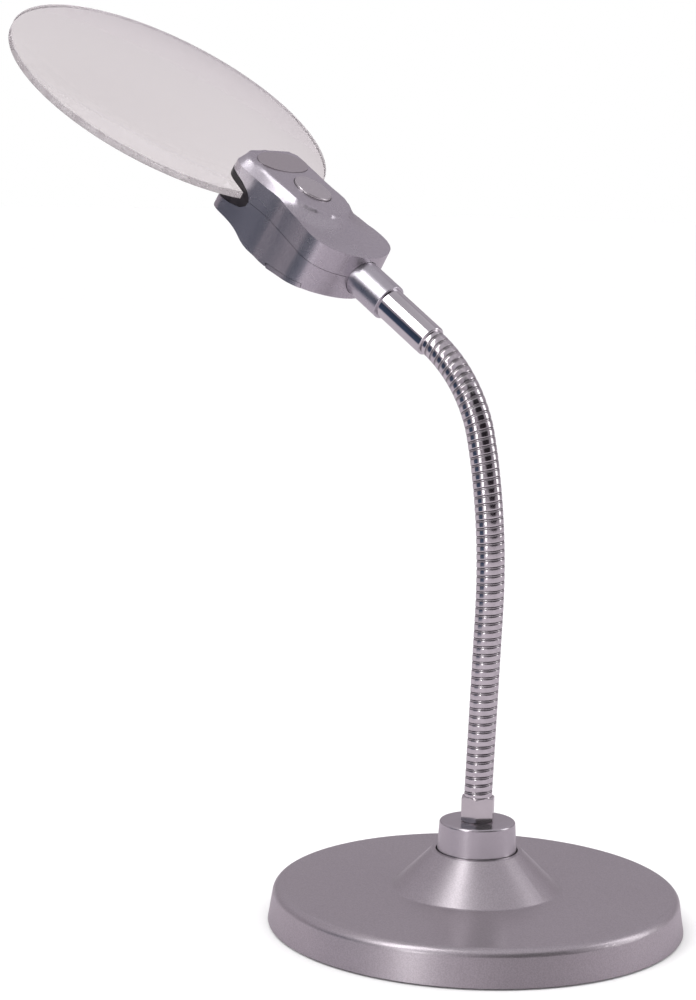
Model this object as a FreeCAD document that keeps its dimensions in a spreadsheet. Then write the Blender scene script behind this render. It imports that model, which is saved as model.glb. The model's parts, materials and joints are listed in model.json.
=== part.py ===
import FreeCAD, Part

import Sketcher

import math
import os

V = FreeCAD.Vector

# Desk magnifier: a weighted round foot, a swivelling collar, a gooseneck and a battery lamp
# head that grips a rimless lens.  Row frame: origin under the foot on the swivel axis, +Z up,
# the lens towards -X, and the neck bending in the XZ plane.  All lengths are millimetres.

DIMENSIONS = {
    # foot
    "base_radius": 61.5, "shoulder_radius": 59.9, "base_height": 11.0, "shoulder_round": 2.6,
    "skirt_gap": 0.6, "cover_wall": 1.7, "cone_radius": 25.0, "cone_height": 22.3,
    "mouth_radius": 12.2, "mouth_lip": 1.2, "hub_top": 19.4, "hub_depth": 3.0,
    "pad_radius": 57.0, "pad_thick": 1.6, "plate_radius": 59.0, "plate_thick": 1.4,
    "ballast_outer": 56.5, "ballast_inner": 20.0, "ballast_bottom": 3.3, "ballast_top": 8.9,
    "cone_root_round": 0.9, "cone_lip_round": 0.55, "boss_circle": 42.0, "boss_radius": 3.2,
    "screw_radius": 1.5, "screw_head_radius": 2.8,
    # swivel
    "stud_radius": 3.0, "stud_bottom": 10.2, "running_fit": 0.05, "collar_bottom_radius": 11.9,
    "collar_top_radius": 11.2, "collar_top": 31.0, "collar_round": 0.7, "washer_thick": 0.65,
    "nut_height": 4.8, "nut_radius": 5.6,
    # gooseneck
    "hex_radius": 5.35, "hex_top": 38.5, "hex_chamfer": 0.9, "neck_radius": 4.15, "groove_radius": 3.7,
    "groove_slope": 0.35, "link_gap": 0.5, "ball_radius": 3.3, "neck_bore": 1.6,
    "turn_pitch": 2.315, "turns_per_link": 4, "link_count": 15, "neck_lean": 2.2,
    "neck_upright": 55.0, "gentle_end": 104.5, "gentle_curve": 0.289,
    # head: distances along the head are measured from the lens centre
    "head_tilt": 33.84, "tube_end": 127.6, "tube_radius": 4.9, "tube_wall": 1.0, "tube_round": 0.5,
    "sleeve_end": 107.9, "sleeve_radius": 5.75, "sleeve_start": 86.0, "sleeve_round": 0.3,
    "lens_radius": 54.75, "lens_bulge": 6.0, "lens_edge": 2.2, "tab_end": 61.0, "tab_width": 15.0,
    "peg_place": 58.2, "peg_radius": 2.2, "post_radius": 2.0, "post_across": 11.0,
    "front_post": 59.5, "rear_post": 84.5,
    "crease_height": 7.1, "crown_height": 10.6, "shell_wall": 1.6, "shell_gap": 0.12,
    "liner_gap": 0.1,
    "button_place": 64.3, "button_length": 13.0, "button_width": 12.6, "button_proud": 0.7,
    "button_gap": 0.2, "badge_place": 49.9, "badge_length": 11.2, "badge_width": 21.6,
    "cell_radius": 6.25, "cell_thick": 2.5, "battery_place": 80.0, "battery_tilt": 13.0,
    "door_depth": 9.15, "door_length": 15.6, "door_thick": 1.4, "door_gap": 0.25,
    "lamp_radius": 1.5,
}

document = FreeCAD.newDocument("magnifier")
sheet = document.addObject("Spreadsheet::Sheet", "Sizes")


class Size:
    """A length with both its value and the spreadsheet expression that gives it."""

    def __init__(self, value, text):
        self.value = value
        self.text = text

    def joined(self, sign, other, value):
        return Size(value, "(%s %s %s)" % (self.text, sign, as_size(other).text))

    def __add__(self, other):
        return self.joined("+", other, self.value + as_size(other).value)

    def __sub__(self, other):
        return self.joined("-", other, self.value - as_size(other).value)

    def __mul__(self, other):
        return self.joined("*", other, self.value * as_size(other).value)

    def __neg__(self):
        return self * -1


def as_size(number):
    return number if isinstance(number, Size) else Size(float(number), repr(float(number)))


def fill_sheet():
    """Write every driving dimension into the sheet under its own alias."""
    for row, (alias, number) in enumerate(DIMENSIONS.items(), 1):
        sheet.set("A%d" % row, alias)
        sheet.set("B%d" % row, str(number))
        sheet.setAlias("B%d" % row, alias)
    document.recompute()


def size(alias):
    return Size(float(getattr(sheet, alias)), "Sizes." + alias)


def value(alias):
    return float(getattr(sheet, alias))


fill_sheet()


# ---------------------------------------------------------------- building blocks

sub_parts = []


def keep(item, label):
    """Name a finished sub-part; its label is also its file name."""
    item.Label = label
    sub_parts.append(item)
    return item


def new_body(label):
    return keep(document.addObject("PartDesign::Body", label), label)


def bind(item, prop, amount):
    amount = as_size(amount)
    if "." not in prop:
        setattr(item, prop, amount.value)
    item.setExpression(prop, amount.text)


def primitive(body, kind, name, at=(0, 0, 0), turn=None, **sizes):
    """Add or cut one PartDesign primitive whose sizes and place follow the sheet."""
    item = body.newObject("PartDesign::" + kind, name)
    for prop, amount in sizes.items():
        if prop == "Polygon":
            item.Polygon = amount
        else:
            bind(item, prop, amount)
    if turn:
        item.Placement = FreeCAD.Placement(V(), FreeCAD.Rotation(V(*turn[0]), turn[1]))
    for axis, amount in zip("xyz", at):
        bind(item, "Placement.Base." + axis, amount)
    document.recompute()
    return item


def origin_feature(body, role):
    return next(item for item in body.Origin.OriginFeatures if item.Role == role)


def outline_sketch(body, name, points):
    """A closed outline on the body's XZ plane with each corner held by two sheet values."""
    sketch = body.newObject("Sketcher::SketchObject", name)
    sketch.AttachmentSupport = [(origin_feature(body, "XZ_Plane"), "")]
    sketch.MapMode = "FlatFace"
    corners = [(as_size(x), as_size(y)) for x, y in points]
    spots = [V(x.value, y.value, 0) for x, y in corners]
    for index, spot in enumerate(spots):
        sketch.addGeometry(Part.LineSegment(spot, spots[(index + 1) % len(spots)]), False)
    for index in range(len(spots)):
        following = (index + 1) % len(spots)
        sketch.addConstraint(Sketcher.Constraint("Coincident", index, 2, following, 1))
    for index, corner in enumerate(corners):
        for kind, axis, amount in zip(("DistanceX", "DistanceY"), (-2, -1), corner):
            if abs(amount.value) < 1e-9:
                sketch.addConstraint(Sketcher.Constraint("PointOnObject", index, 1, axis))
                continue
            number = sketch.addConstraint(
                Sketcher.Constraint(kind, -1, 1, index, 1, amount.value))
            sketch.setExpression("Constraints[%d]" % number, amount.text)
    document.recompute()
    return sketch


def revolve(body, name, points):
    """Turn an outline of (radius, height) corners once about the body's Z axis."""
    sketch = outline_sketch(body, name + "_outline", points)
    turned = body.newObject("PartDesign::Revolution", name)
    turned.Profile = sketch
    turned.ReferenceAxis = (sketch, ["V_Axis"])
    turned.Angle = 360.0
    document.recompute()
    return turned


def round_edges(body, name, radius, chosen):
    """Fillet the edges of the body's tip that the given test picks."""
    tip = body.Tip
    names = ["Edge%d" % number for number, edge in enumerate(tip.Shape.Edges, 1) if chosen(edge)]
    if not names:
        raise ValueError("no edge to round for " + name)
    fillet = body.newObject("PartDesign::Fillet", name)
    fillet.Base = (tip, names)
    bind(fillet, "Radius", radius)
    document.recompute()
    return fillet


def ring_at(radius, height):
    """A test for a full circle of this radius at this height about the Z axis."""
    def chosen(edge):
        curve = edge.Curve
        return (isinstance(curve, Part.Circle) and abs(curve.Radius - radius) < 0.01
                and abs(curve.Center.z - height) < 0.01)
    return chosen


def feature(label, shape, placement=None):
    """A sub-part whose sculpted shape is made with Part's own functions."""
    item = document.addObject("Part::Feature", label)
    item.Shape = shape
    item.Placement = placement or FreeCAD.Placement()
    return keep(item, label)


THREE_WAYS = [(math.cos(math.radians(turn)), math.sin(math.radians(turn))) for turn in (30, 150, 270)]


# ---------------------------------------------------------------- foot

def make_base_cover():
    """Silver cover: a shallow disc, a cone, and a hub floor that carries the collar."""
    body = new_body("base_cover")
    outer = size("base_radius")
    top = size("base_height")
    wall = size("cover_wall")
    mouth = size("mouth_radius")
    hub_under = size("hub_top") - size("hub_depth")
    revolve(body, "cover", [
        (outer, size("skirt_gap")),
        (size("shoulder_radius"), top),
        (size("cone_radius"), top),
        (mouth + size("mouth_lip"), size("cone_height")),
        (mouth, size("cone_height")),
        (mouth, size("hub_top")),
        (size("stud_radius") + size("running_fit"), size("hub_top")),
        (size("stud_radius") + size("running_fit"), hub_under),
        (mouth + wall * 2.6, hub_under),
        (size("cone_radius") - wall * 0.4, top - wall),
        (size("shoulder_radius") - wall, top - wall),
        (outer - wall, size("skirt_gap"))])
    for index, (across, along) in enumerate(THREE_WAYS):
        boss = size("boss_circle")
        plate_top = size("pad_thick") + size("plate_thick")
        spot = (boss * across, boss * along, plate_top)
        primitive(body, "AdditiveCylinder", "boss_%d" % index, spot,
                  Radius=size("boss_radius"), Height=top - wall * 0.7 - plate_top)
        primitive(body, "SubtractiveCylinder", "pilot_%d" % index, spot,
                  Radius=size("screw_radius") + 0.02, Height=top - wall * 2.2 - plate_top)
    round_edges(body, "shoulder", size("shoulder_round"),
                ring_at(value("shoulder_radius"), value("base_height")))
    round_edges(body, "cone_root", size("cone_root_round"),
                ring_at(value("cone_radius"), value("base_height")))
    lip_radius = value("mouth_radius") + value("mouth_lip")
    round_edges(body, "cone_lip", size("cone_lip_round"), ring_at(lip_radius, value("cone_height")))


def make_ballast():
    """Cast-iron ring that keeps the lamp from tipping; three holes clear the cover's bosses."""
    body = new_body("ballast_weight")
    bottom = size("ballast_bottom")
    depth = size("ballast_top") - bottom
    primitive(body, "AdditiveCylinder", "ring", (0, 0, bottom),
              Radius=size("ballast_outer"), Height=depth)
    primitive(body, "SubtractiveCylinder", "middle", (0, 0, bottom),
              Radius=size("ballast_inner"), Height=depth)
    for index, (across, along) in enumerate(THREE_WAYS):
        circle = size("boss_circle")
        primitive(body, "SubtractiveCylinder", "clear_%d" % index,
                  (circle * across, circle * along, bottom),
                  Radius=size("boss_radius") + 0.6, Height=depth)


def make_bottom_plate():
    """Pressed steel plate that closes the foot, countersunk for three screws."""
    body = new_body("bottom_plate")
    under = size("pad_thick")
    thick = size("plate_thick")
    primitive(body, "AdditiveCylinder", "disc", (0, 0, under),
              Radius=size("plate_radius"), Height=thick)
    for index, (across, along) in enumerate(THREE_WAYS):
        circle = size("boss_circle")
        spot = (circle * across, circle * along, under)
        primitive(body, "SubtractiveCone", "sink_%d" % index, spot,
                  Radius1=size("screw_head_radius") + 0.05, Radius2=size("screw_radius") + 0.05,
                  Height=thick)


def make_foot_pad():
    body = new_body("foot_pad")
    primitive(body, "AdditiveCylinder", "pad", Radius=size("pad_radius"), Height=size("pad_thick"))


def screw_slot(length, width, depth, middle):
    return Part.makeBox(length, width, depth, middle - V(length / 2, width / 2, 0))


def make_base_screws():
    """Three identical countersunk screws, one node of separate solids."""
    screws = []
    under = value("pad_thick")
    thick = value("plate_thick")
    head = Part.makeCone(value("screw_head_radius"), value("screw_radius"), thick, V(0, 0, under))
    shank_length = value("base_height") - 2.5 * value("cover_wall") - under - thick
    shank = Part.makeCylinder(value("screw_radius"), shank_length, V(0, 0, under + thick))
    slot = screw_slot(4.0, 0.7, 0.6, V(0, 0, under))
    screw = head.fuse(shank).removeSplitter().cut(slot)
    for across, along in THREE_WAYS:
        copy = screw.copy()
        copy.translate(V(across, along, 0) * value("boss_circle"))
        screws.append(copy)
    feature("base_screws", Part.makeCompound(screws))


# ---------------------------------------------------------------- swivel

def make_swivel_collar():
    body = new_body("swivel_collar")
    bottom = size("hub_top") + size("washer_thick") + size("running_fit")
    bore = size("stud_radius") + 0.02
    revolve(body, "collar", [
        (bore, bottom), (size("collar_bottom_radius"), bottom),
        (size("collar_top_radius"), size("collar_top")), (bore, size("collar_top"))])
    round_edges(body, "collar_edge", size("collar_round"),
                ring_at(value("collar_top_radius"), value("collar_top")))


def make_thrust_washer():
    """Nylon washer between the hub and the collar."""
    body = new_body("thrust_washer")
    primitive(body, "AdditiveCylinder", "washer", (0, 0, size("hub_top")),
              Radius=size("mouth_radius") - 0.6, Height=size("washer_thick"))
    primitive(body, "SubtractiveCylinder", "bore", (0, 0, size("hub_top")),
              Radius=size("stud_radius") + 0.4, Height=size("washer_thick"))


def make_spring_washer():
    """Dished steel washer that gives the swivel its drag."""
    body = new_body("spring_washer")
    top = size("hub_top") - size("hub_depth") - size("running_fit")
    inner = size("stud_radius") + 0.3
    outer = size("nut_radius") + 1.2
    revolve(body, "dish", [(inner, top - 0.5), (outer, top - 1.0), (outer, top - 0.6),
                           (inner, top)])


def make_lock_nut():
    body = new_body("lock_nut")
    height = size("nut_height")
    bottom = size("hub_top") - size("hub_depth") - size("running_fit") - 1.0 - height
    primitive(body, "AdditivePrism", "hexagon", (0, 0, bottom), Polygon=6,
              Circumradius=size("nut_radius"), Height=height)
    primitive(body, "SubtractiveCylinder", "thread", (0, 0, bottom),
              Radius=size("stud_radius") + 0.02, Height=height)


def make_neck_fitting():
    """Bright hexagon fitting on a stud; its ball carries the first link of the neck."""
    body = new_body("neck_fitting")
    top = size("hex_top")
    collar_top = size("collar_top")
    primitive(body, "AdditivePrism", "hexagon", (0, 0, collar_top), Polygon=6,
              Circumradius=size("hex_radius"), Height=top - collar_top)
    # turned chamfers take the hexagon's corners off at both ends
    chamfer = size("hex_chamfer")
    rim = size("hex_radius") + 0.6
    tip = size("hex_radius") - chamfer
    for name, face, inner in (("chamfer_low", collar_top, collar_top + chamfer),
                              ("chamfer_high", top, top - chamfer)):
        cutter = body.newObject("PartDesign::Groove", name)
        edge, far, side = (tip, face), (rim, face), (rim, inner)
        cutter.Profile = outline_sketch(body, name + "_outline", [edge, far, side])
        cutter.ReferenceAxis = (cutter.Profile[0], ["V_Axis"])
        cutter.Angle = 360.0
        document.recompute()
    primitive(body, "AdditiveCylinder", "stud", (0, 0, size("stud_bottom")),
              Radius=size("stud_radius"), Height=collar_top - size("stud_bottom") + 0.1)
    primitive(body, "AdditiveSphere", "ball", (0, 0, top + size("link_gap")),
              Radius=size("ball_radius"))


# ---------------------------------------------------------------- gooseneck

def link_length():
    return value("turn_pitch") * value("turns_per_link")


def link_angles():
    """Lean of each link from the vertical, towards the lens, in degrees.

    The neck leaves the foot almost upright, curves gently, then turns into the head with an
    even arc, so the lean grows in two straight ramps along its length.
    """
    count = int(value("link_count"))
    pitch = link_length()
    total = count * pitch
    upright = value("neck_upright")
    gentle_end = value("gentle_end")
    gentle_turn = value("gentle_curve") * (gentle_end - upright)
    last_lean = 90.0 - value("head_tilt")
    arc_curve = (last_lean + value("neck_lean") - gentle_turn) / (total - gentle_end)
    angles = []
    for index in range(count):
        along = (index + 0.5) * pitch
        gentle = min(max(along - upright, 0.0), gentle_end - upright)
        arc = max(along - gentle_end, 0.0)
        angles.append(value("gentle_curve") * gentle + arc_curve * arc - value("neck_lean"))
    return angles


def link_places():
    """The pivot under each link, and the pivot at the tube's mouth."""
    place = V(0, 0, value("hex_top") + value("link_gap"))
    places = [place]
    for angle in link_angles():
        lean = math.radians(angle)
        place = place + V(-math.sin(lean), 0, math.cos(lean)) * link_length()
        places.append(place)
    return places


def make_neck_link(index, angle, place):
    """A rigid stretch of gooseneck: four turned bands, a ball above and a socket below."""
    body = new_body("neck_link_%02d" % index)
    band = size("neck_radius")
    groove = size("groove_radius")
    slope = size("groove_slope")
    pitch = size("turn_pitch")
    gap = size("link_gap")
    turns = int(value("turns_per_link"))
    bore = size("neck_bore")
    points = [(bore, gap)]
    for turn in range(turns):
        low = gap if turn == 0 else pitch * turn
        high = pitch * (turn + 1) - gap if turn == turns - 1 else pitch * (turn + 1)
        points += [(groove, low), (band, low + slope), (band, high - slope)]
    points += [(groove, pitch * turns - gap), (bore, pitch * turns - gap)]
    revolve(body, "bands_%02d" % index, points)
    primitive(body, "AdditiveSphere", "ball_%02d" % index, (0, 0, pitch * turns),
              Radius=size("ball_radius"))
    primitive(body, "SubtractiveSphere", "socket_%02d" % index,
              Radius=size("ball_radius") + size("running_fit"))
    primitive(body, "SubtractiveCylinder", "bore_%02d" % index,
              Radius=bore, Height=pitch * (turns + 1))
    body.Placement = FreeCAD.Placement(place, FreeCAD.Rotation(V(0, 1, 0), -angle))


def make_gooseneck():
    for index, (angle, place) in enumerate(zip(link_angles(), link_places()), 1):
        make_neck_link(index, angle, place)


# ---------------------------------------------------------------- head frame

def head_placement():
    """From head axes (along the head, across it, out of its top) to the row frame."""
    turn = FreeCAD.Rotation(V(0, 1, 0), value("head_tilt"))
    mouth = link_places()[-1]
    return FreeCAD.Placement(mouth - turn.multVec(V(value("tube_end"), 0, 0)), turn)


HEAD = head_placement()
ALONG = ((0, 1, 0), 90)     # turns a primitive's own Z axis along the head
ACROSS = ((1, 0, 0), 90)    # turns it across the head

# small features of the head
CUTTER_SIDE = 25.0          # half the width of cutters that pass right through the head
PIN_PLACE = 5.0             # sleeve pin, from the sleeve's hidden end
PIN_RADIUS = 0.75
PIN_HOLE = 0.77
TUBE_PLUG = 8.0             # solid end of the chrome tube round the last ball
SLEEVE_FIT = 0.12
SLEEVE_LOCK = 1.5
TAIL_END = 100.0
TAB_FIT = 0.15
LENS_FIT = 0.06
PILOT_RADIUS = 0.82
PILOT_DEPTH = 4.6
POST_SHORT = 1.2            # the posts end this far below the crease
THREAD_RADIUS = 0.8
THREAD_REACH = 4.0
SCREW_HOLE = 1.05
SCREW_HEAD = 1.95
SCREW_HEAD_THICK = 1.3
SCREW_HEAD_HOLE = 2.05
SCREW_SEAT = -3.5
BOARD_LOW = 1.7
BOARD_THICK = 1.4
BOARD_LENGTH = 22.0
BOARD_WIDTH = 17.0
BOARD_START = 61.6
SWITCH_SIDE = 6.0
SWITCH_HEIGHT = 2.2
PLUNGER_RADIUS = 1.4
PLUNGER_LOW = 5.0
STEM_RADIUS = 1.5
STEM_DROP = 1.1
BUTTON_FLANGE = 1.0
BUTTON_ROUND = 0.5
BADGE_SINK = 0.5
BADGE_PROUD = 0.15
LAMP_PLACE = 52.4
LAMP_ACROSS = 8.0
LAMP_HEIGHT = -5.7
LAMP_STEM = 2.6
LAMP_FLANGE = 0.4
CELL_CAP = 0.4
CELL_SPACE = 0.05
LEAF_THICK = 0.25


def along_head(radius, start, end):
    return Part.makeCylinder(radius, end - start, V(start, 0, 0), V(1, 0, 0))


def closed_spline(points, height):
    """A smooth closed outline through half an outline and its mirror image."""
    mirrored = [(x, -y) for x, y in reversed(points) if y > 0.01]
    curve = Part.BSplineCurve()
    curve.interpolate(Points=[V(x, y, height) for x, y in points + mirrored], PeriodicFlag=True)
    return Part.Wire(curve.toShape())


def outline_polyline(points, steps=240):
    """Evenly spaced points along the same outline, for measuring distances to it."""
    return [(p.x, p.y) for p in closed_spline(points, 0.0).discretize(steps)]


HEAD_PLAN = [
    (42.3, 0.0), (42.4, 6.0), (42.7, 10.5), (43.6, 13.4), (45.6, 14.9), (49.0, 15.2),
    (53.0, 15.1), (56.1, 14.86), (58.7, 14.5), (61.0, 14.15), (63.4, 13.95), (65.5, 14.06),
    (69.1, 14.7), (71.7, 15.05), (75.8, 15.7), (79.3, 16.4), (82.9, 17.0), (85.4, 16.8),
    (87.7, 16.1), (90.0, 14.6), (92.05, 12.1), (93.4, 9.6), (94.4, 7.0), (95.2, 3.6),
    (95.5, 0.0)]
HEAD_MIDDLE = 68.9
HEAD_REACH = 26.6
HEAD_HALF_WIDTH = 17.0
CROWN_PLAN = [
    (42.9, 0.0), (43.2, 7.6), (44.4, 10.8), (47.0, 11.9), (50.8, 11.6), (55.0, 11.3),
    (59.8, 11.2), (65.0, 11.3), (69.4, 11.2), (72.8, 9.7), (75.3, 7.4), (77.4, 4.4),
    (78.5, 0.0)]
CROWN_MIDDLE = 60.0
CROWN_REACH = 18.0
CROWN_HALF_WIDTH = 11.9
CROWN_SAG = 0.25            # how far the crown's sides lie below its middle line
OUTER_FALL = 0.55           # slope of the top face where it runs on past the walls
SCOOP_START = 66.0          # the scoop behind the crown deepens from here
SCOOP_REACH = 14.0
SCOOP_POWER = 1.3
CREASE_LIFT = 0.02
TOP_ROWS = 58               # grid of the top face, along and across the head
TOP_COLUMNS = 37
TOP_START = 40.5
TOP_END = 97.5
TOP_SIDE = 18.5


def head_plan(inset=0.0):
    """Half the head's plan: a blunt front, a waist, hips, and a flat back with round corners."""
    shrink = (HEAD_REACH - inset) / HEAD_REACH
    narrow = (HEAD_HALF_WIDTH - inset) / HEAD_HALF_WIDTH
    return [(HEAD_MIDDLE + (x - HEAD_MIDDLE) * shrink, y * narrow) for x, y in HEAD_PLAN]


def crown_plan(inset=0.0):
    """Half the raised top: a tongue with a blunt front and a round tip."""
    shrink = 1 - inset / CROWN_REACH
    narrow = 1 - inset / CROWN_HALF_WIDTH
    return [(CROWN_MIDDLE + (x - CROWN_MIDDLE) * shrink, y * narrow) for x, y in CROWN_PLAN]


def nearest(point, outline):
    """Distance from a point to a closed polyline."""
    best = 1e9
    for (ax, ay), (bx, by) in zip(outline, outline[1:] + outline[:1]):
        dx, dy = bx - ax, by - ay
        length = dx * dx + dy * dy or 1e-9
        part = min(max(((point[0] - ax) * dx + (point[1] - ay) * dy) / length, 0.0), 1.0)
        best = min(best, math.hypot(point[0] - ax - part * dx, point[1] - ay - part * dy))
    return best


def inside(point, outline):
    crossings = 0
    for (ax, ay), (bx, by) in zip(outline, outline[1:] + outline[:1]):
        if (ay > point[1]) != (by > point[1]):
            if point[0] < ax + (point[1] - ay) * (bx - ax) / (by - ay):
                crossings += 1
    return crossings % 2 == 1


def top_height(point, plan, crown):
    """Height of the head's top: level on the crown, then a bevel that falls to the crease.

    Beside the crown the bevel falls evenly.  Behind it the top drops away first and then
    runs out almost flat to the back.
    """
    crease = value("crease_height")
    climb = value("crown_height") - crease
    sag = CROWN_SAG * (point[1] / CROWN_HALF_WIDTH) ** 2
    if inside(point, crown):
        return crease + climb - min(sag, CROWN_SAG)
    to_crown = nearest(point, crown)
    to_plan = nearest(point, plan)
    if not inside(point, plan):
        return crease - OUTER_FALL * to_plan
    share = to_plan / (to_plan + to_crown)
    behind = min(max((point[0] - SCOOP_START) / SCOOP_REACH, 0.0), 1.0)
    rounded = share ** (1.0 + SCOOP_POWER * behind)
    return crease + (climb - CROWN_SAG) * rounded + CREASE_LIFT * (1 - rounded)


def top_surface():
    """The top as one smooth face over the whole plan."""
    plan = outline_polyline(HEAD_PLAN)
    crown = outline_polyline(CROWN_PLAN)
    rows = []
    for i in range(TOP_ROWS):
        x = TOP_START + (TOP_END - TOP_START) * i / (TOP_ROWS - 1)
        row = []
        for j in range(TOP_COLUMNS):
            y = -TOP_SIDE + 2 * TOP_SIDE * j / (TOP_COLUMNS - 1)
            row.append(V(x, y, top_height((x, y), plan, crown)))
        rows.append(row)
    surface = Part.BSplineSurface()
    surface.interpolate(rows)
    return surface.toShape()


def prism(points, low, high):
    face = Part.Face(closed_spline(points, low))
    return face.extrude(V(0, 0, high - low))


def side_prism(points, smooth=False):
    """A closed side profile of (along, height) corners, pulled across the head.

    A smooth profile has straight lines only at its first and last corners.
    """
    corners = [V(x, -CUTTER_SIDE, z) for x, z in points]
    if smooth:
        curve = Part.BSplineCurve()
        curve.interpolate(corners[1:-1])
        wire = Part.Wire([Part.makeLine(corners[-1], corners[0]),
                          Part.makeLine(corners[0], corners[1]), curve.toShape(),
                          Part.makeLine(corners[-2], corners[-1])])
    else:
        wire = Part.makePolygon(corners + corners[:1])
    return Part.Face(wire).extrude(V(0, 2 * CUTTER_SIDE, 0))


def mouth_profile(grow=0.0):
    """Side view of the jaw opening: a slanting throat, deepest at the parting line."""
    return [(38.0, 5.9 + grow), (43.6, 5.3 + grow), (47.7, 4.4 + grow), (50.8, 3.6 + grow),
            (53.5, 2.5 + grow), (55.3 + grow, 1.2), (55.9 + grow, 0.0), (55.7 + grow, -1.7),
            (54.0, -3.2 - grow), (50.0, -4.3 - grow), (46.2, -4.8 - grow), (38.0, -5.2 - grow)]


def mouth_cutter(grow=0.0):
    profile = mouth_profile(grow)
    ahead = 30.0
    return side_prism([(ahead, 0.0), (ahead, profile[0][1])] + profile[1:-1]
                      + [(ahead, profile[-1][1])])


def slab(low, high):
    """A box over the whole head between two heights."""
    return Part.makeBox(80, 2 * CUTTER_SIDE, high - low, V(30, -CUTTER_SIDE, low))


def sleeve_seat():
    return along_head(value("sleeve_radius") + SLEEVE_FIT,
                      value("sleeve_start") - SLEEVE_LOCK, TAIL_END)


# ---------------------------------------------------------------- neck end of the head

def make_chrome_tube():
    """Polished tube: a socket for the last link, a hollow middle, and a cross hole."""
    body = new_body("chrome_tube")
    radius = size("tube_radius")
    end = size("tube_end")
    gap = size("link_gap")
    start = size("sleeve_start")
    primitive(body, "AdditiveCylinder", "tube", (start, 0, 0), ALONG,
              Radius=radius, Height=end - gap - start)
    primitive(body, "SubtractiveCylinder", "hollow", (start, 0, 0), ALONG,
              Radius=radius - size("tube_wall"), Height=end - TUBE_PLUG - start)
    primitive(body, "SubtractiveSphere", "socket", (end, 0, 0),
              Radius=size("ball_radius") + size("running_fit"))
    primitive(body, "SubtractiveCylinder", "pin_hole", (start + PIN_PLACE, size("sleeve_radius"), 0),
              ACROSS, Radius=PIN_HOLE, Height=size("sleeve_radius") * 2)
    edge_place = value("tube_end") - value("link_gap")
    round_edges(body, "mouth_round", size("tube_round"), lambda edge: (
        isinstance(edge.Curve, Part.Circle) and abs(edge.Curve.Radius - value("tube_radius")) < 0.01
        and abs(edge.Curve.Center.x - edge_place) < 0.01))
    body.Placement = HEAD


def make_sleeve():
    """Satin ferrule pinned to the tube; a groove locks it between the two shells."""
    body = new_body("head_sleeve")
    start = size("sleeve_start")
    primitive(body, "AdditiveCylinder", "sleeve", (start, 0, 0), ALONG,
              Radius=size("sleeve_radius"), Height=size("sleeve_end") - start)
    primitive(body, "SubtractiveCylinder", "bore", (start, 0, 0), ALONG,
              Radius=size("tube_radius") + 0.02, Height=size("sleeve_end") - start)
    primitive(body, "SubtractiveCylinder", "pin_hole", (start + PIN_PLACE, size("sleeve_radius"), 0),
              ACROSS, Radius=PIN_HOLE, Height=size("sleeve_radius") * 2)
    edge_place = value("sleeve_end")
    round_edges(body, "sleeve_round", size("sleeve_round"), lambda edge: (
        isinstance(edge.Curve, Part.Circle)
        and abs(edge.Curve.Radius - value("sleeve_radius")) < 0.01
        and abs(edge.Curve.Center.x - edge_place) < 0.01))
    body.Placement = HEAD


def make_sleeve_pin():
    body = new_body("sleeve_pin")
    length = size("sleeve_radius") * 2 - 0.8
    primitive(body, "AdditiveCylinder", "pin",
              (size("sleeve_start") + PIN_PLACE, length * 0.5, 0), ACROSS,
              Radius=PIN_RADIUS, Height=length)
    body.Placement = HEAD


# ---------------------------------------------------------------- lens and jaw

def lens_disc(extra=0.0):
    """A lens bulged on both faces, grown by a small extra where a seat has to clear it."""
    radius = value("lens_radius") + extra
    bulge = value("lens_bulge")
    ball = (value("lens_radius") ** 2 + bulge ** 2) / (2 * bulge)
    offset = ball - bulge - value("lens_edge") / 2
    shape = Part.makeCylinder(radius, 30, V(0, 0, -15))
    for side in (-1, 1):
        shape = shape.common(Part.makeSphere(ball + extra, V(0, 0, side * offset)))
    return shape


def lens_tab(extra=0.0):
    """The flat tongue on the lens that the jaw holds."""
    start = value("lens_radius") - 4.0
    length = value("tab_end") + extra - start
    width = value("tab_width") + 2 * extra
    thick = value("lens_edge") + 2 * extra
    return Part.makeBox(length, width, thick, V(start, -width / 2, -thick / 2))


def make_lens():
    hole = Part.makeCylinder(value("peg_radius") + 0.1, 10, V(value("peg_place"), 0, -5))
    shape = lens_disc().fuse(lens_tab()).cut(hole).removeSplitter()
    feature("lens", shape, HEAD)


def make_jaw_liner():
    """Black grip that lines the jaw and holds the lens on both faces."""
    block = mouth_cutter().common(prism(head_plan(0.15), -6.0, 9.0))
    front = side_prism([(30.0, 12.0), (42.2, 12.0), (42.2, -8.0), (30.0, -8.0)])
    seat = lens_disc(LENS_FIT).fuse(lens_tab(LENS_FIT))
    edge = value("lens_edge")
    rim = Part.makeCylinder(value("lens_radius") + LENS_FIT, edge, V(0, 0, -edge / 2))
    feature("jaw_liner", block.cut([front, seat, rim]), HEAD)


# ---------------------------------------------------------------- shells

def oval(length, width, low, high, place):
    ellipse = Part.Ellipse(V(place, 0, low), max(length, width) / 2, min(length, width) / 2)
    edge = ellipse.toShape()
    if width > length:
        edge.rotate(V(place, 0, low), V(0, 0, 1), 90)
    return Part.Face(Part.Wire(edge)).extrude(V(0, 0, high - low))


def upper_outside():
    """Side wall with a little draft, under the bevel and the raised crown."""
    wall = Part.makeLoft([closed_spline(head_plan(), 0.0), closed_spline(head_plan(0.5), 14.0)],
                         True, True)
    below = top_surface().extrude(V(0, 0, -16.0))
    return wall.common(below)


def upper_inside():
    """The hollow of the upper shell, with more room under the crown."""
    wall = value("shell_wall")
    low = prism(head_plan(wall + 0.3), -1.0, value("crease_height") - 1.4)
    crown = prism(crown_plan(wall + 0.4), 0.0, value("crown_height") - wall)
    return low.fuse(crown)


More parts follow.
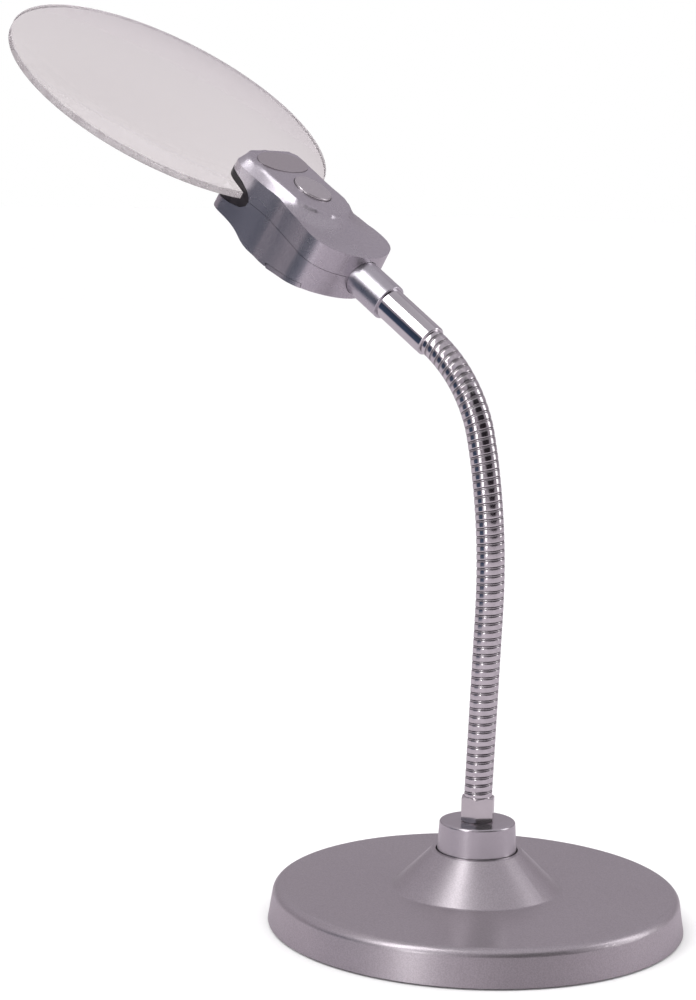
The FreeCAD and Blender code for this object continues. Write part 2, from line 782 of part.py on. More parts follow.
def make_upper_shell():
    """Silver top casing with the button hole, the badge recess and four screw posts."""
    crown = value("crown_height")
    wall = value("shell_wall")
    gap = value("shell_gap") / 2
    shape = upper_outside().cut(upper_inside())
    posts = [Part.makeCylinder(value("post_radius"), value("crease_height") - POST_SHORT,
                               V(x, y, gap)) for x, y in screw_spots()]
    shape = shape.fuse(posts)
    pilots = [Part.makeCylinder(PILOT_RADIUS, PILOT_DEPTH, V(x, y, gap))
              for x, y in screw_spots()]
    hole = oval(value("button_length"), value("button_width"), crown - 4, crown + 2,
                value("button_place"))
    recess = oval(value("badge_length"), value("badge_width"), crown - BADGE_SINK, crown + 2,
                  value("badge_place"))
    shape = shape.cut([mouth_cutter(value("liner_gap")), hole, recess, sleeve_seat(),
                       lens_tab(TAB_FIT), slab(-10.0, gap)] + pilots)
    feature("upper_shell", biggest(shape), HEAD)


def biggest(shape):
    return max(shape.Solids, key=lambda solid: solid.Volume)


LOWER_PROFILE = [
    (41.0, 0.0), (41.9, -7.2), (43.2, -8.6), (45.6, -8.95), (49.5, -9.1), (53.3, -9.4),
    (56.6, -10.3), (59.6, -11.8), (62.6, -12.6), (66.3, -12.5), (70.3, -12.25), (75.2, -11.45),
    (80.2, -10.35), (84.7, -9.3), (88.0, -8.6), (92.0, -7.9), (96.2, -7.5), (97.0, 0.0)]


def lower_profile(inset=0.0):
    """Side view of the lower casing: a thin lip, a deep belly, and a rising tail."""
    return [(min(max(x, 41.0 + inset), 97.0 - inset), z + inset if z < 0 else z)
            for x, z in LOWER_PROFILE]


def battery_placement():
    """Battery bay axes: the door lies on the belly and tips up towards the tail."""
    turn = FreeCAD.Rotation(V(0, 1, 0), -value("battery_tilt"))
    return FreeCAD.Placement(V(value("battery_place"), 0, -value("door_depth")), turn)


def bay_block(length, width, low, high):
    """A box in battery bay axes, centred on the door, as seen in head axes."""
    box = Part.makeBox(length, width, high - low, V(-length / 2, -width / 2, low))
    box.Placement = battery_placement().multiply(box.Placement)
    return box


def make_lower_shell():
    """Silver bottom casing: sculpted belly, battery opening, lamp holes and screw posts."""
    gap = value("shell_gap") / 2
    wall = value("shell_wall")
    outside = prism(head_plan(), -20.0, 0.0).common(side_prism(lower_profile(), True))
    outside = rounded_belly(outside)
    inner = lower_profile(wall)
    inside_space = prism(head_plan(wall + 0.3), -20.0, 1.0).common(
        side_prism([(inner[0][0], 1.0)] + inner[1:-1] + [(inner[-1][0], 1.0)]))
    shape = outside.cut(inside_space)
    # a web closes the front lip behind the jaw liner
    lip = prism(head_plan(0.8), -20.0, 0.0).common(side_prism(
        [(42.8, -3.0), (42.8, -7.6), (46.5, -8.2), (51.0, -8.4), (55.5, -9.2), (57.4, -10.0),
         (57.4, 0.0), (50.0, 0.0)]))
    posts = [Part.makeCylinder(value("post_radius") + 0.6, 20.0, V(x, y, -20.0)).common(outside)
             for x, y in screw_spots()]
    shape = shape.fuse([lip] + posts)
    bay = bay_block(value("door_length") + 2 * value("door_gap"), 2 * CUTTER_SIDE, -5.0, 0.15)
    cells = cell_stack(0.4)
    holes = [Part.makeCylinder(SCREW_HOLE, 30, V(x, y, -25)) for x, y in screw_spots()]
    heads = [Part.makeCylinder(SCREW_HEAD_HOLE, 20, V(x, y, SCREW_SEAT - 20))
             for x, y in screw_spots()]
    shape = shape.cut([mouth_cutter(value("liner_gap")), lens_tab(TAB_FIT), bay, cells,
                       sleeve_seat(), slab(-gap, 10.0)] + holes + heads
                      + [lamp(side, 0.08) for side in (-1, 1)])
    peg = Part.makeCylinder(value("peg_radius"), 11.0, V(value("peg_place"), 0, -10.0))
    feature("lower_shell", biggest(shape.fuse(peg)), HEAD)


def rounded_belly(shape):
    """Round the long edges between the belly and the side walls where the kernel can."""
    for radius in (1.2, 0.9, 0.6):
        edges = [edge for edge in shape.Edges
                 if edge.BoundBox.ZMax < -5.0 and abs(edge.CenterOfMass.z) > 5.0]
        try:
            rounded = shape.makeFillet(radius, edges)
        except (Part.OCCError, RuntimeError):
            continue
        if rounded.isValid() and rounded.Volume > 0.8 * shape.Volume:
            return rounded
    return shape


def screw_spots():
    across = value("post_across")
    return [(place, side * across) for place in (value("front_post"), value("rear_post"))
            for side in (-1, 1)]


def make_shell_screws():
    """Four short screws that come up from below and pull the casings together."""
    screws = []
    seat = SCREW_SEAT
    for x, y in screw_spots():
        under = seat - SCREW_HEAD_THICK
        head = Part.makeCylinder(SCREW_HEAD, SCREW_HEAD_THICK, V(x, y, under))
        shank = Part.makeCylinder(THREAD_RADIUS, THREAD_REACH - seat, V(x, y, seat - 0.1))
        recess = screw_slot(2.4, 0.5, 0.5, V(x, y, under))
        screws.append(head.fuse(shank).removeSplitter().cut(recess))
    feature("shell_screws", Part.makeCompound(screws), HEAD)


# ---------------------------------------------------------------- lamp, switch and power

def make_badge():
    """Blank oval plate set into the crown."""
    crown = value("crown_height")
    plate = oval(value("badge_length") - 0.2, value("badge_width") - 0.2, crown - BADGE_SINK,
                 crown + BADGE_PROUD, value("badge_place"))
    feature("badge", plate.common(prism(crown_plan(0.1), 0.0, 12.0)), HEAD)


def make_push_button():
    """Oval cap with a retaining flange under the crown."""
    crown = value("crown_height")
    gap = value("button_gap")
    length = value("button_length")
    width = value("button_width")
    place = value("button_place")
    under = crown - value("shell_wall") - 0.1
    top = crown + value("button_proud")
    cap = oval(length - 2 * gap, width - 2 * gap, under - 1.0, top, place)
    top_edges = [edge for edge in cap.Edges if edge.BoundBox.ZMin > top - 0.01]
    cap = cap.makeFillet(BUTTON_ROUND, top_edges)
    flange = oval(length + BUTTON_FLANGE, width + BUTTON_FLANGE, under - 1.0, under, place)
    stem = Part.makeCylinder(STEM_RADIUS, 1.3, V(place, 0, under - 1.0 - STEM_DROP))
    feature("push_button", cap.fuse([flange, stem]).removeSplitter(), HEAD)


def make_switch():
    """Square push switch on the board, with a plunger that the cap presses."""
    place = value("button_place")
    crown = value("crown_height")
    stem_low = crown - value("shell_wall") - 2.2
    board_top = BOARD_LOW + BOARD_THICK
    body = Part.makeBox(SWITCH_SIDE, SWITCH_SIDE, SWITCH_HEIGHT,
                        V(place - SWITCH_SIDE / 2, -SWITCH_SIDE / 2, board_top))
    well = Part.makeCylinder(PLUNGER_RADIUS + 0.05, SWITCH_HEIGHT, V(place, 0, board_top + 0.7))
    feature("switch_body", body.cut(well), HEAD)
    plunger = Part.makeCylinder(PLUNGER_RADIUS, stem_low - PLUNGER_LOW, V(place, 0, PLUNGER_LOW))
    feature("switch_plunger", plunger, HEAD)


def make_circuit_board():
    """Bare board with its resistor and lamp driver."""
    top = BOARD_LOW + BOARD_THICK
    board = Part.makeBox(BOARD_LENGTH, BOARD_WIDTH, BOARD_THICK,
                         V(BOARD_START, -BOARD_WIDTH / 2, BOARD_LOW))
    resistor = Part.makeBox(3.2, 1.6, 0.9, V(BOARD_START + 10.4, 4.0, top))
    driver = Part.makeBox(4.4, 4.0, 1.4, V(BOARD_START + 12.4, -5.0, top))
    feature("circuit_board", board.fuse([resistor, driver]), HEAD)


def lamp(side, extra=0.0):
    """One round lamp that looks forward and down out of the lower casing."""
    radius = value("lamp_radius") + extra
    aim = V(-0.42, 0, -0.907)
    back = V(LAMP_PLACE, side * LAMP_ACROSS, LAMP_HEIGHT)
    stem = Part.makeCylinder(radius, LAMP_STEM + extra, back, aim)
    dome = Part.makeSphere(radius, back + aim * (LAMP_STEM + extra))
    flange = Part.makeCylinder(radius + LAMP_FLANGE, 2 * LAMP_FLANGE, back, aim)
    return stem.fuse([dome, flange]).removeSplitter()


def make_lamps():
    feature("led_lamps", Part.makeCompound([lamp(-1), lamp(1)]), HEAD)


def cell_stack(extra=0.0):
    """The room that both cells take in the bay."""
    height = 2 * (value("cell_thick") + CELL_SPACE) + extra
    stack = Part.makeCylinder(value("cell_radius") + extra, height, V(0, 0, CELL_SPACE))
    stack.Placement = battery_placement().multiply(stack.Placement)
    return stack


def bay_feature(label, shape):
    return feature(label, shape, HEAD.multiply(battery_placement()))


def make_coin_cells():
    """Two cells, one on the other, each with its narrower cap upwards."""
    cells = []
    for level in (0, 1):
        low = 0.15 + level * (value("cell_thick") + CELL_SPACE)
        shoulder = value("cell_thick") - CELL_CAP
        can = Part.makeCylinder(value("cell_radius"), shoulder, V(0, 0, low))
        cap = Part.makeCylinder(value("cell_radius") - 1.1, CELL_CAP, V(0, 0, low + shoulder))
        cells.append(can.fuse(cap).removeSplitter())
    bay_feature("coin_cells", Part.makeCompound(cells))


def make_battery_door():
    """Clip-on cover as wide as the belly, with a round front edge that it turns on."""
    length = value("door_length")
    thick = value("door_thick")
    round_edge = thick / 2
    front = round_edge - length / 2
    plate = Part.makeBox(length - round_edge, 2 * CUTTER_SIDE, thick,
                         V(front, -CUTTER_SIDE, -thick))
    roll = Part.makeCylinder(round_edge, 2 * CUTTER_SIDE, V(front, -CUTTER_SIDE, -round_edge),
                             V(0, 1, 0))
    plan = prism(head_plan(0.12), -20.0, 0.0)
    plan.Placement = battery_placement().inverse()
    plate = plate.fuse(roll).removeSplitter().common(plan)
    notch = Part.makeCylinder(3.2, 1.2, V(length / 2 + 1.2, 0, -thick - 0.4))
    ridges = [Part.makeBox(0.7, 9.0, 0.3, V(length / 2 - 3.6 - 1.5 * step, -4.5, -thick - 0.3))
              for step in range(3)]
    bay_feature("battery_door", plate.cut(notch).fuse(ridges))


def make_contacts():
    """A spring leaf over the cells, and a leaf beside them, both rising to the board."""
    roof = 2 * value("cell_thick") + 0.65
    side = value("cell_radius") + 0.42
    rise = value("door_depth") + BOARD_LOW - 0.4
    leaf = Part.makeBox(7.0, 4.0, LEAF_THICK, V(-3.5, -2.0, roof))
    riser = Part.makeBox(LEAF_THICK, 4.0, rise - roof, V(-3.5, -2.0, roof))
    bay_feature("contact_spring", leaf.fuse(riser).removeSplitter())
    strip = Part.makeBox(LEAF_THICK, 3.0, rise - 2.0, V(-side - LEAF_THICK, -1.5, 1.7))
    foot = Part.makeBox(1.0, 3.0, LEAF_THICK, V(-side - 1.0, -1.5, 1.7))
    bay_feature("contact_side", strip.fuse(foot).removeSplitter())


# ---------------------------------------------------------------- build and write

def make_everything():
    make_base_cover()
    make_ballast()
    make_bottom_plate()
    make_foot_pad()
    make_base_screws()
    make_swivel_collar()
    make_thrust_washer()
    make_spring_washer()
    make_lock_nut()
    make_neck_fitting()
    make_gooseneck()
    make_chrome_tube()
    make_sleeve()
    make_sleeve_pin()
    make_lens()
    make_jaw_liner()
    make_upper_shell()
    make_lower_shell()
    make_shell_screws()
    make_badge()
    make_push_button()
    make_switch()
    make_circuit_board()
    make_lamps()
    make_coin_cells()
    make_battery_door()
    make_contacts()
    document.recompute()


def check_everything():
    """Stop before anything is written if any object failed."""
    for item in document.Objects:
        if "Invalid" in item.State or "Error" in item.State:
            raise RuntimeError("%s failed: %s" % (item.Label, item.State))
    for item in sub_parts:
        if item.Shape.isNull() or not item.Shape.isValid() or not item.Shape.Solids:
            raise RuntimeError("bad shape: " + item.Label)


def write_everything():
    os.makedirs("parts", exist_ok=True)
    for item in sub_parts:
        item.Shape.exportStep("parts/%s.step" % item.Label)
        print("%-18s %2d solid(s) %12.2f mm3" % (
            item.Label, len(item.Shape.Solids), item.Shape.Volume))


make_everything()
check_everything()
write_everything()
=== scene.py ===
import json
import math

import bpy
from mathutils import Matrix, Vector


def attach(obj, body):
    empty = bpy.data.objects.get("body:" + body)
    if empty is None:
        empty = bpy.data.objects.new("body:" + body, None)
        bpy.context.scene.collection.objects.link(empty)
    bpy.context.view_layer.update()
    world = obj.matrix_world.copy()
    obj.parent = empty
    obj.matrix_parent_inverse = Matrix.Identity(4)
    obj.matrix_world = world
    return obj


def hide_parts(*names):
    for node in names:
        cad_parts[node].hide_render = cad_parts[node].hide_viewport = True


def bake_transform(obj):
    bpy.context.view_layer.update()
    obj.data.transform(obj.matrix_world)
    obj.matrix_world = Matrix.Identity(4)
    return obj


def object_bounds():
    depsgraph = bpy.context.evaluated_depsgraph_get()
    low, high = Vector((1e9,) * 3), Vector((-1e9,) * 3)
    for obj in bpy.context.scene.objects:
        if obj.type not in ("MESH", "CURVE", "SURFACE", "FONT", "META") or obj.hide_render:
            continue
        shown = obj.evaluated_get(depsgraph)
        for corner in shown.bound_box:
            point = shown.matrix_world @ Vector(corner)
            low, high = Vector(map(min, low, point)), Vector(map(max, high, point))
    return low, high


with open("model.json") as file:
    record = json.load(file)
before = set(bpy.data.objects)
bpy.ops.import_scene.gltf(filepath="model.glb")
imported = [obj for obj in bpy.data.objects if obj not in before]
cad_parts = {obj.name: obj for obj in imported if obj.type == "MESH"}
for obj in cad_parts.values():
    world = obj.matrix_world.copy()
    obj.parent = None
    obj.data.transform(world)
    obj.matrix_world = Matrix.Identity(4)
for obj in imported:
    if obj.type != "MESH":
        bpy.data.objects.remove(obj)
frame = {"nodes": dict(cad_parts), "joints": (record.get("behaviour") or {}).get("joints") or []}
cad_low, cad_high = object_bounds()

# ---------------------------------------------------------------- sizes, in metres

TURN_PITCH = 0.002315       # of the gooseneck's coil
TURNS_PER_LINK = 4
STEPS_PER_TURN = 48

LENS_RADIUS = 0.05475
LENS_BULGE = 0.006          # how far each face rises above the rim
LENS_EDGE = 0.0022          # thickness at the rim
LENS_SOFTENING = 0.00025    # radius of the rim's softened corners
LENS_RINGS = 40
LENS_SPOKES = 192
TUBE_END = 0.1276           # from the lens centre to the gooseneck's last pivot

JOINTS = {joint["name"]: joint for joint in frame["joints"]}
NECK = [joint for joint in frame["joints"] if joint["name"].startswith("neck_")]
HEAD_UP = -Vector(JOINTS["button_press"]["axis"])
HEAD_ACROSS = Vector((0.0, 1.0, 0.0))
HEAD_ALONG = HEAD_ACROSS.cross(HEAD_UP)
HEAD_LEAN = math.radians(56.16)     # the head's long axis, from vertical
LENS_CENTRE = Vector(NECK[-1]["pos_m"]) - HEAD_ALONG * TUBE_END

# ---------------------------------------------------------------- camera and studio

VIEW_AZIMUTH = 38.66
VIEW_ELEVATION = 7.42
VIEW_ROLL = -1.155
CAMERA_PLACE = (0.3917, -0.55395, 0.2139)
CAMERA_LENS = 84.6          # focal length in mm, for the sensor below
CAMERA_SENSOR = 36.0
MIDDLE = 0.12               # half the object's height, which the lamps aim at

FLOOR_REACH = 20.0
FLOOR_WHITE = ((0.91, 0.91, 0.91), (0.93, 0.93, 0.93))
FLOOR_MIRRORED = (0.46, 0.42, 0.46)

# a dark strip of floor, seen only in reflections: its bearing from the camera's own, the
# cosines and distances between which it fades in, and its tone
STRIP_BEARING = (-76, 0)
STRIP_FADE = (0.90, 0.965)
STRIP_NEAR = (0.35, 0.6)
STRIP_TONE = (0.035, 0.05, 0.085)

# tone of the mirrored room by height: 0 is straight down, 0.5 the horizon, 1 straight up
ROOM_HEIGHTS = [(0.0, (0.30, 0.30, 0.34)), (0.47, (0.30, 0.30, 0.34)),
                (0.50, (0.34, 0.31, 0.34)), (0.62, (0.35, 0.31, 0.35)),
                (0.78, (0.47, 0.43, 0.48)), (1.0, (0.34, 0.31, 0.35))]
# black flags in the mirrored room: bearing and elevation, half width in degrees, tone
ROOM_FLAGS = [((30, 21), 27, (0.012, 0.008, 0.012)), ((-78, 0), 17, (0.035, 0.05, 0.085))]
FLAG_FADE = (1.35, 0.8)     # where a flag's edge starts and ends, in half widths
BACKDROP = ((1.0, 1.0, 1.0), 1.0)
SOFT_LIGHT = ((1.0, 0.99, 1.0), 1.1)
MIRRORED_STRENGTH = 1.0


def from_view(azimuth, elevation, distance, height=MIDDLE):
    """A place round the object, by its bearing from the camera's own bearing."""
    turn, rise = math.radians(VIEW_AZIMUTH + azimuth), math.radians(elevation)
    return (math.sin(turn) * math.cos(rise) * distance,
            -math.cos(turn) * math.cos(rise) * distance, height + math.sin(rise) * distance)


# ---------------------------------------------------------------- node helpers

class Graph:
    """A small builder for a node tree."""

    def __init__(self, tree):
        self.tree = tree

    def add(self, kind, **settings):
        node = self.tree.nodes.new(kind)
        for key, value in settings.items():
            setattr(node, key, value)
        return node

    def put(self, item, socket):
        """Links an output to the socket, or gives the socket a colour or a number."""
        if isinstance(item, bpy.types.NodeSocket):
            self.tree.links.new(item, socket)
        elif isinstance(item, tuple):
            socket.default_value = (*item, 1.0)
        else:
            socket.default_value = item

    def ramp(self, value, low=0.0, high=1.0, start=0.35, end=0.65, smooth=False):
        """Goes from low to high as the value goes from start to end."""
        style = "SMOOTHSTEP" if smooth else "LINEAR"
        node = self.add("ShaderNodeMapRange", interpolation_type=style)
        for socket, number in (("From Min", start), ("From Max", end), ("To Min", low),
                               ("To Max", high)):
            node.inputs[socket].default_value = number
        self.put(value, node.inputs["Value"])
        return node.outputs["Result"]

    def mix(self, factor, first, second):
        """A colour between two, whose sockets a Mix node holds at these places."""
        factor_at, first_at, second_at, result_at = 0, 6, 7, 2
        node = self.add("ShaderNodeMix", data_type="RGBA")
        self.put(factor, node.inputs[factor_at])
        self.put(first, node.inputs[first_at])
        self.put(second, node.inputs[second_at])
        return node.outputs[result_at]

    def combine(self, operation, first, second, clamp=False):
        node = self.add("ShaderNodeMath", operation=operation, use_clamp=clamp)
        self.put(first, node.inputs[0])
        self.put(second, node.inputs[1])
        return node.outputs["Value"]

    def measure(self, operation, vector):
        """A vector operation on one vector, such as its length."""
        node = self.add("ShaderNodeVectorMath", operation=operation)
        self.put(vector, node.inputs[0])
        return node.outputs

    def facing(self, direction, bearing):
        """The cosine of the angle between a direction and a bearing from the camera."""
        node = self.add("ShaderNodeVectorMath", operation="DOT_PRODUCT")
        self.put(direction, node.inputs[0])
        node.inputs[1].default_value = from_view(*bearing, distance=1.0, height=0.0)
        return node.outputs["Value"]


class Surface(Graph):
    """A material with one Principled shader, patterned in the row frame."""

    SOCKETS = {"metallic": "Metallic", "roughness": "Roughness", "ior": "IOR",
               "coat": "Coat Weight", "coat_roughness": "Coat Roughness",
               "transmission": "Transmission Weight", "specular": "Specular IOR Level"}

    def __init__(self, name):
        self.material = bpy.data.materials.new(name)
        self.material.use_nodes = True
        super().__init__(self.material.node_tree)
        self.shader = self.tree.nodes["Principled BSDF"]
        self.place = self.add("ShaderNodeTexCoord").outputs["Object"]

    def set(self, **values):
        for key, value in values.items():
            self.put(value, self.shader.inputs[self.SOCKETS[key]])

    def color(self, source):
        self.put(source, self.shader.inputs["Base Color"])

    def stretched(self, scale, turn):
        node = self.add("ShaderNodeMapping")
        node.inputs["Scale"].default_value = scale
        node.inputs["Rotation"].default_value = turn
        self.put(self.place, node.inputs["Vector"])
        return node.outputs["Vector"]

    def noise(self, scale, detail=3.0, vector=None):
        node = self.add("ShaderNodeTexNoise")
        node.inputs["Scale"].default_value = scale
        node.inputs["Detail"].default_value = detail
        node.inputs["Roughness"].default_value = 0.55
        self.put(vector or self.place, node.inputs["Vector"])
        return node.outputs["Fac"]

    def mottle(self, scale, detail, first, second):
        """Base colour that drifts between two tones."""
        self.color(self.mix(self.ramp(self.noise(scale, detail)), first, second))

    def bump(self, height, strength, distance=0.00002):
        node = self.add("ShaderNodeBump")
        node.inputs["Strength"].default_value = strength
        node.inputs["Distance"].default_value = distance
        self.put(height, node.inputs["Height"])
        self.put(node.outputs["Normal"], self.shader.inputs["Normal"])


# ---------------------------------------------------------------- materials

def paint(name, light, dark, metallic, rough, flake=2600.0):
    """Silver paint or lacquered metal: fine flake, slow tone changes, faint orange peel."""
    n = Surface(name)
    n.set(metallic=metallic, coat=0.2, coat_roughness=0.12)
    fleck = n.ramp(n.noise(flake, detail=2.0), start=0.38, end=0.62)
    n.color(n.mix(fleck, dark, light))
    slow = n.noise(38.0, detail=4.0)
    n.set(roughness=n.ramp(slow, rough - 0.035, rough + 0.045, start=0.3, end=0.7))
    n.bump(n.noise(flake * 0.6, detail=2.0), strength=0.06, distance=0.00003)
    return n.material


def bare(name, tone, rough, smudge=0.04, brushed=None, turn=None):
    """Plated metal; brushed gives the stretch of its fine lines along the piece's axis."""
    n = Surface(name)
    n.set(metallic=1.0)
    n.mottle(160.0, 5.0, tuple(part * 0.93 for part in tone), tone)
    worn = n.noise(420.0, detail=4.0)
    n.set(roughness=n.ramp(worn, rough, rough + smudge, start=0.35, end=0.75))
    if brushed:
        n.bump(n.noise(1.0, vector=n.stretched(brushed, turn)), strength=0.05)
    else:
        n.bump(n.noise(900.0, detail=2.0), strength=0.015)
    return n.material


def plain(name, light, dark, rough, grain=1800.0, strength=0.15, metallic=0.0):
    """Moulded plastic, rubber or a casting: two close tones under a fine grain."""
    n = Surface(name)
    n.set(metallic=metallic)
    n.mottle(grain * 0.2, 4.0, dark, light)
    n.set(roughness=n.ramp(n.noise(grain * 0.1, detail=4.0), rough - 0.05, rough + 0.08))
    n.bump(n.noise(grain), strength, distance=0.00005)
    return n.material


def coil_chrome():
    """Chromed strip: bright on the bands; down in the grooves it is rougher, with painted shade
    darkening its colour.
    """
    n = Surface("gooseneck_chrome")
    n.set(metallic=1.0)
    depth = n.add("ShaderNodeAttribute", attribute_name="groove").outputs["Fac"]
    worn = n.ramp(n.noise(700.0, detail=4.0))
    bright = n.mix(worn, (0.66, 0.63, 0.65), (0.75, 0.72, 0.74))
    # painted shade: the colour darkens to near-black towards the groove bottoms, standing in for
    # occlusion
    n.color(n.mix(depth, bright, (0.055, 0.045, 0.05)))
    n.set(roughness=n.ramp(depth, 0.13, 0.42, start=0.0, end=1.0))
    n.bump(n.noise(1500.0), strength=0.03)
    return n.material


def acrylic():
    """The lens's faces. The index is below acrylic's 1.49, so that light leaves the lens again
    at a grazing view instead of being lost inside it."""
    n = Surface("clear_acrylic")
    n.set(transmission=1.0, ior=1.06, coat=0.6, coat_roughness=0.04)
    n.mottle(9.0, 2.0, (0.70, 0.65, 0.665), (0.74, 0.69, 0.705))
    n.set(roughness=n.ramp(n.noise(60.0), 0.03, 0.045, start=0.4, end=0.8))
    return n.material


def acrylic_edge():
    """The lens's rim, where the saw-cut edge was only roughly polished."""
    n = Surface("acrylic_edge")
    n.set(transmission=0.85, ior=1.3)
    n.mottle(220.0, 3.0, (0.42, 0.38, 0.40), (0.62, 0.58, 0.60))
    n.set(roughness=n.ramp(n.noise(300.0), 0.22, 0.4, start=0.4, end=0.7))
    return n.material


# ---------------------------------------------------------------- meshes

def new_object(name, data):
    thing = bpy.data.objects.new(name, data)
    bpy.context.scene.collection.objects.link(thing)
    return thing


def smooth_mesh(name, verts, faces):
    mesh = bpy.data.meshes.new(name)
    mesh.from_pydata(verts, [], faces)
    mesh.polygons.foreach_set("use_smooth", [True] * len(faces))
    mesh.update()
    return mesh


# ---------------------------------------------------------------- gooseneck

def neck_line():
    """Knots of the neck's smooth centre line: every pivot with the direction there."""
    points = [Vector(joint["pos_m"]) for joint in NECK]
    ways = [(points[1] - points[0]).normalized()]
    for before, point, after in zip(points, points[1:], points[2:]):
        ways.append(((after - point).normalized() + (point - before).normalized()).normalized())
    ways.append((HEAD_ALONG * -1.0).normalized())
    return points, ways


NECK_POINTS, NECK_WAYS = neck_line()
LINK_LENGTH = (NECK_POINTS[1] - NECK_POINTS[0]).length


def neck_at(distance):
    """Centre and direction of the neck at a distance along it from the first pivot."""
    last = len(NECK_POINTS) - 1
    share = distance / LINK_LENGTH
    if share <= 0:
        return NECK_POINTS[0] + NECK_WAYS[0] * distance, NECK_WAYS[0]
    if share >= last:
        return NECK_POINTS[-1] + NECK_WAYS[-1] * (distance - last * LINK_LENGTH), NECK_WAYS[-1]
    index = int(share)
    t = share - index
    a, b = NECK_POINTS[index], NECK_POINTS[index + 1]
    ta, tb = NECK_WAYS[index] * LINK_LENGTH, NECK_WAYS[index + 1] * LINK_LENGTH
    centre = (a * (2 * t**3 - 3 * t**2 + 1) + ta * (t**3 - 2 * t**2 + t)
              + b * (-2 * t**3 + 3 * t**2) + tb * (t**3 - t**2))
    way = (a * (6 * t**2 - 6 * t) + ta * (3 * t**2 - 4 * t + 1)
           + b * (-6 * t**2 + 6 * t) + tb * (3 * t**2 - 2 * t))
    return centre, way.normalized()


# One turn of the coil, a narrow round wire and a wide strip with a groove after each: share of
# the pitch, radius, and how far down in the groove it lies, which sets the painted shade there.
ROUND_WIRE = [
    (0.00, 0.00384, 1.0), (0.015, 0.00395, 0.9), (0.035, 0.00404, 0.5), (0.06, 0.004075, 0.1),
    (0.10, 0.004085, 0.0), (0.14, 0.004075, 0.1), (0.165, 0.00404, 0.5), (0.185, 0.00395, 0.9),
    (0.20, 0.00384, 1.0)]
WIDE_STRIP = [
    (0.22, 0.00384, 1.0), (0.235, 0.00397, 0.9), (0.26, 0.00409, 0.3), (0.29, 0.004125, 0.0),
    (0.40, 0.004135, 0.0), (0.55, 0.00414, 0.0), (0.70, 0.00414, 0.0), (0.85, 0.004135, 0.0),
    (0.94, 0.004125, 0.0), (0.965, 0.00409, 0.3), (0.985, 0.00397, 0.9), (1.00, 0.00384, 1.0)]
COIL = ROUND_WIRE + WIDE_STRIP


def coil_piece(name, first_turn, turns):
    """The helical strip from one turn to another, swept along the neck's centre line."""
    verts, depths, faces = [], [], []
    steps = turns * STEPS_PER_TURN
    wide = len(COIL)
    for step in range(steps + 1):
        angle = 2 * math.pi * step / STEPS_PER_TURN
        for share, radius, depth in COIL:
            along = (first_turn + step / STEPS_PER_TURN + share) * TURN_PITCH
            centre, way = neck_at(along)
            side = way.cross(HEAD_ACROSS).normalized()
            # right-handed about the way up the neck
            spoke = side * math.cos(angle) + way.cross(side) * math.sin(angle)
            verts.append(centre + spoke * radius)
            depths.append(depth)
    for step in range(steps):
        for k in range(wide - 1):
            a = step * wide + k
            faces.append((a, a + wide, a + wide + 1, a + 1))
    mesh = smooth_mesh(name, verts, faces)
    # groove depth per vertex, which the chrome material turns into painted shade
    groove = mesh.attributes.new("groove", "FLOAT", "POINT")
    groove.data.foreach_set("value", depths)
    return new_object(name, mesh)


def make_gooseneck(material):
    """One piece of coil round each pivot; the first reaches one turn into the fitting."""
    half = TURNS_PER_LINK // 2
    last = len(NECK) - 1
    for index, joint in enumerate(NECK):
        bend = TURNS_PER_LINK * index - half
        first, turns = bend, TURNS_PER_LINK
        if index == 0:
            first, turns = -1, half + 1
        elif index == last:
            turns = half + 1
        piece = coil_piece("gooseneck_%02d" % (index + 1), first, turns)
        piece.data.materials.append(material)
        if index < last:
            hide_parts("neck_link_%02d" % (index + 1))
        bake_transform(piece)


# ---------------------------------------------------------------- lens

def lens_outline():
    """Radius and height round the lens's section, from the middle of one face to the other."""
    ball = (LENS_RADIUS**2 + LENS_BULGE**2) / (2 * LENS_BULGE)
    upper = []
    for ring in range(LENS_RINGS + 1):
        radius = (LENS_RADIUS - LENS_SOFTENING) * ring / LENS_RINGS
        height = LENS_EDGE / 2 - (ball - LENS_BULGE) + math.sqrt(ball**2 - radius**2)
        upper.append((radius, height))
    top = upper[-1][1]
    for turn in (0.4, 0.8, 1.2, math.pi / 2):
        upper.append((LENS_RADIUS - LENS_SOFTENING * (1 - math.sin(turn)),
                      top - LENS_SOFTENING * (1 - math.cos(turn))))
    return upper + [(radius, -height) for radius, height in reversed(upper)]


def make_lens(material, edge_material):
    """A lens bulged on both faces, with a softened rim."""
    verts, rows, faces = [], [], []
    for radius, height in lens_outline():
        count = LENS_SPOKES if radius > 0 else 1
        rows.append(range(len(verts), len(verts) + count))
        for spoke in range(count):
            turn = 2 * math.pi * spoke / LENS_SPOKES
            verts.append(LENS_CENTRE + HEAD_ALONG * (radius * math.cos(turn))
                         + HEAD_ACROSS * (radius * math.sin(turn)) + HEAD_UP * height)
    for low, high in zip(rows, rows[1:]):
        for spoke in range(LENS_SPOKES):
            after = (spoke + 1) % LENS_SPOKES
            if len(low) == 1:
                faces.append((low[0], high[spoke], high[after]))
            elif len(high) == 1:
                faces.append((low[spoke], high[0], low[after]))
            else:
                faces.append((low[spoke], high[spoke], high[after], low[after]))
    mesh = smooth_mesh("lens_disc", verts, faces)
    lens = new_object("lens_disc", mesh)
    mesh.materials.append(material)
    mesh.materials.append(edge_material)
    rim_start = (LENS_RADIUS - 2 * LENS_SOFTENING) ** 2
    for face in mesh.polygons:
        reach = [mesh.vertices[corner].co - LENS_CENTRE for corner in face.vertices]
        if all(r.length_squared - r.dot(HEAD_UP) ** 2 > rim_start for r in reach):
            face.material_index = 1
    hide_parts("lens")
    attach(lens, "head")


# ---------------------------------------------------------------- finishes

def dress(material, *nodes):
    for node in nodes:
        piece = frame["nodes"][node]
        if not piece.material_slots:
            piece.data.materials.append(material)
        for slot in piece.material_slots:
            slot.material = material


